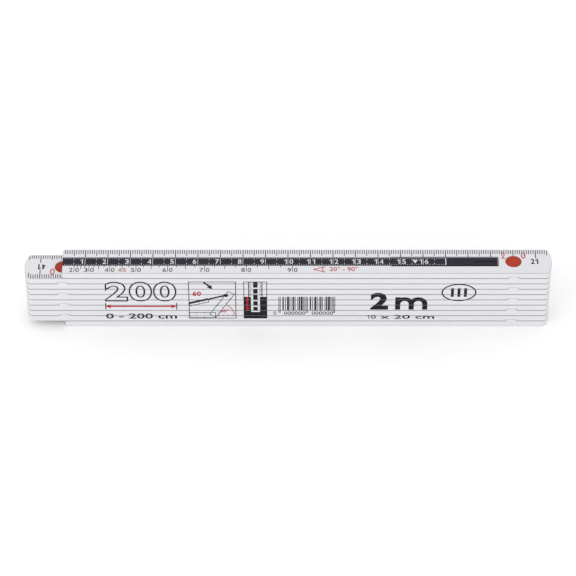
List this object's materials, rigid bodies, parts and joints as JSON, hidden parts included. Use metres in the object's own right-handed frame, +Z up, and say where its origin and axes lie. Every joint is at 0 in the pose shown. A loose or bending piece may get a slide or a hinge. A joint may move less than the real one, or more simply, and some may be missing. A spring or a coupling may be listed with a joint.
{
  "type": "folding rule",
  "caption": "Folding plastic measuring rule with riveted segments, round joint caps, a printed scale and a sliding depth tongue in its top face.",
  "frame": {"origin": "middle of the folded rule's footprint, on the plane it lies on: the outer face of the last segment", "axes": "+X along the folded segments, away from the zero end; +Y across their width, away from the printed edge side; +Z up through the stack, towards the face with the depth tongue"},
  "size_m": [0.234, 0.015, 0.0333],
  "materials": {
    "white_body": "smooth satin white glass-fibre polyamide with printed scales",
    "red_rivet": "satin orange-red moulded plastic",
    "black_tongue": "satin blue-black moulded plastic with a light printed scale",
    "spring_steel": "bright spring steel"
  },
  "bodies": {
    "link_10": {"segment_10": "white_body", "joint_rivet_09": "red_rivet"},
    "link_09": {"segment_09": "white_body", "joint_spring_09": "spring_steel", "joint_cap_09": "red_rivet", "joint_rivet_08": "red_rivet"},
    "link_08": {"segment_08": "white_body", "joint_spring_08": "spring_steel", "joint_cap_08": "red_rivet", "joint_rivet_07": "red_rivet"},
    "link_07": {"segment_07": "white_body", "joint_spring_07": "spring_steel", "joint_cap_07": "red_rivet", "joint_rivet_06": "red_rivet"},
    "link_06": {"segment_06": "white_body", "joint_spring_06": "spring_steel", "joint_cap_06": "red_rivet", "joint_rivet_05": "red_rivet"},
    "link_05": {"segment_05": "white_body", "joint_spring_05": "spring_steel", "joint_cap_05": "red_rivet", "joint_rivet_04": "red_rivet"},
    "link_04": {"segment_04": "white_body", "joint_spring_04": "spring_steel", "joint_cap_04": "red_rivet", "joint_rivet_03": "red_rivet"},
    "link_03": {"segment_03": "white_body", "joint_spring_03": "spring_steel", "joint_cap_03": "red_rivet", "joint_rivet_02": "red_rivet"},
    "link_02": {"segment_02": "white_body", "joint_spring_02": "spring_steel", "joint_cap_02": "red_rivet", "joint_rivet_01": "red_rivet"},
    "link_01": {"segment_01": "white_body", "joint_spring_01": "spring_steel", "joint_cap_01": "red_rivet"},
    "tongue": {"depth_tongue": "black_tongue"}
  },
  "joints": [
    {"name": "fold_09", "type": "hinge", "parent": "link_10", "child": "link_09", "pos_m": [0.1, 0, 0.00335], "axis": [0, 0, -1], "continuous": true},
    {"name": "fold_08", "type": "hinge", "parent": "link_09", "child": "link_08", "pos_m": [-0.1, 0, 0.0067], "axis": [0, 0, 1], "continuous": true},
    {"name": "fold_07", "type": "hinge", "parent": "link_08", "child": "link_07", "pos_m": [0.1, 0, 0.01005], "axis": [0, 0, -1], "continuous": true},
    {"name": "fold_06", "type": "hinge", "parent": "link_07", "child": "link_06", "pos_m": [-0.1, 0, 0.0134], "axis": [0, 0, 1], "continuous": true},
    {"name": "fold_05", "type": "hinge", "parent": "link_06", "child": "link_05", "pos_m": [0.1, 0, 0.01675], "axis": [0, 0, -1], "continuous": true},
    {"name": "fold_04", "type": "hinge", "parent": "link_05", "child": "link_04", "pos_m": [-0.1, 0, 0.0201], "axis": [0, 0, 1], "continuous": true},
    {"name": "fold_03", "type": "hinge", "parent": "link_04", "child": "link_03", "pos_m": [0.1, 0, 0.02345], "axis": [0, 0, -1], "continuous": true},
    {"name": "fold_02", "type": "hinge", "parent": "link_03", "child": "link_02", "pos_m": [-0.1, 0, 0.0268], "axis": [0, 0, 1], "continuous": true},
    {"name": "fold_01", "type": "hinge", "parent": "link_02", "child": "link_01", "pos_m": [0.1, 0, 0.03015], "axis": [0, 0, -1], "continuous": true},
    {"name": "tongue_slide", "type": "slide", "parent": "link_01", "child": "tongue", "axis": [-1, 0, 0], "range_m": [0, 0.17]}
  ]
}
